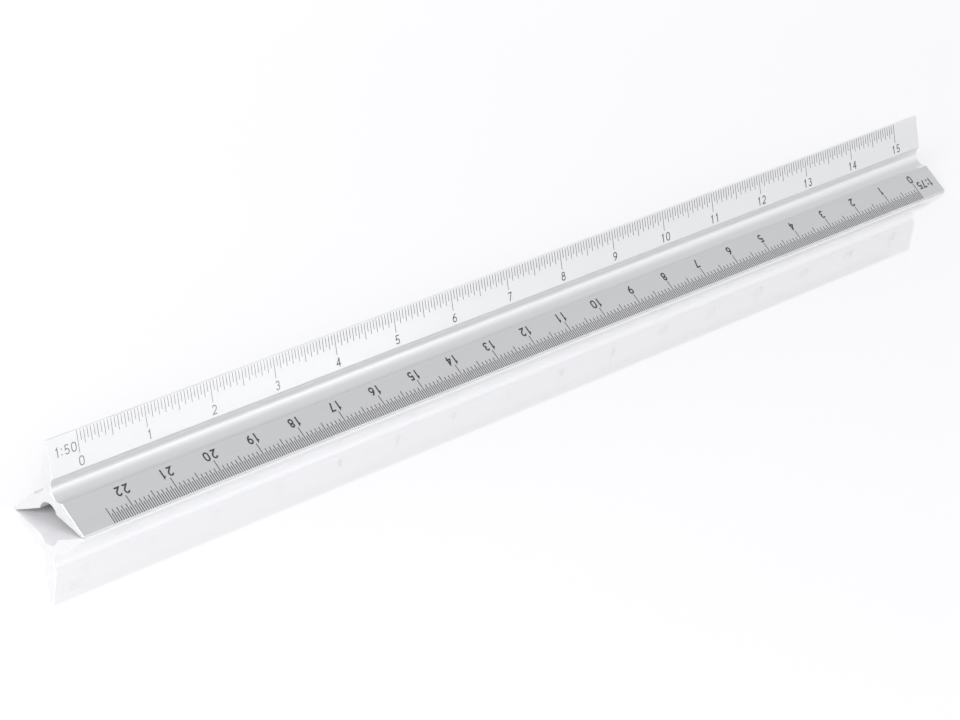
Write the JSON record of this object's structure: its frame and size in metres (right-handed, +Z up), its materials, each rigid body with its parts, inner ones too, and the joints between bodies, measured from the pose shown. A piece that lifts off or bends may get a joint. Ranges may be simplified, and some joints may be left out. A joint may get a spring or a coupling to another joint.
{
  "type": "triangular scale ruler",
  "caption": "Solid three-finned aluminium scale ruler with round grooves and metric reduction scales printed along both faces of each fin.",
  "frame": {"origin": "on the surface that the two lower fins rest on, under the middle of the ruler", "axes": "+X along the ruler, the way that the 1:50 scale reads; +Z up through the top fin; the front is towards -Y"},
  "size_m": [0.3194, 0.0228, 0.0198],
  "materials": {
    "anodised_aluminium": "satin, clear anodised",
    "black_ink": "thin printed ink"
  },
  "bodies": {
    "root": {"aluminium_extrusion": "anodised_aluminium", "scale_1_50_metre_lines": "black_ink", "scale_1_50_division_lines": "black_ink", "scale_1_50_numerals": "black_ink", "scale_1_50_ratio_mark": "black_ink", "scale_1_100_metre_lines": "black_ink", "scale_1_100_division_lines": "black_ink", "scale_1_100_numerals": "black_ink", "scale_1_100_ratio_mark": "black_ink", "scale_1_20_metre_lines": "black_ink", "scale_1_20_division_lines": "black_ink", "scale_1_20_numerals": "black_ink", "scale_1_20_ratio_mark": "black_ink", "scale_1_75_metre_lines": "black_ink", "scale_1_75_division_lines": "black_ink", "scale_1_75_numerals": "black_ink", "scale_1_75_ratio_mark": "black_ink", "scale_1_25_metre_lines": "black_ink", "scale_1_25_division_lines": "black_ink", "scale_1_25_numerals": "black_ink", "scale_1_25_ratio_mark": "black_ink", "scale_1_125_metre_lines": "black_ink", "scale_1_125_division_lines": "black_ink", "scale_1_125_numerals": "black_ink", "scale_1_125_ratio_mark": "black_ink"}
  },
  "joints": []
}
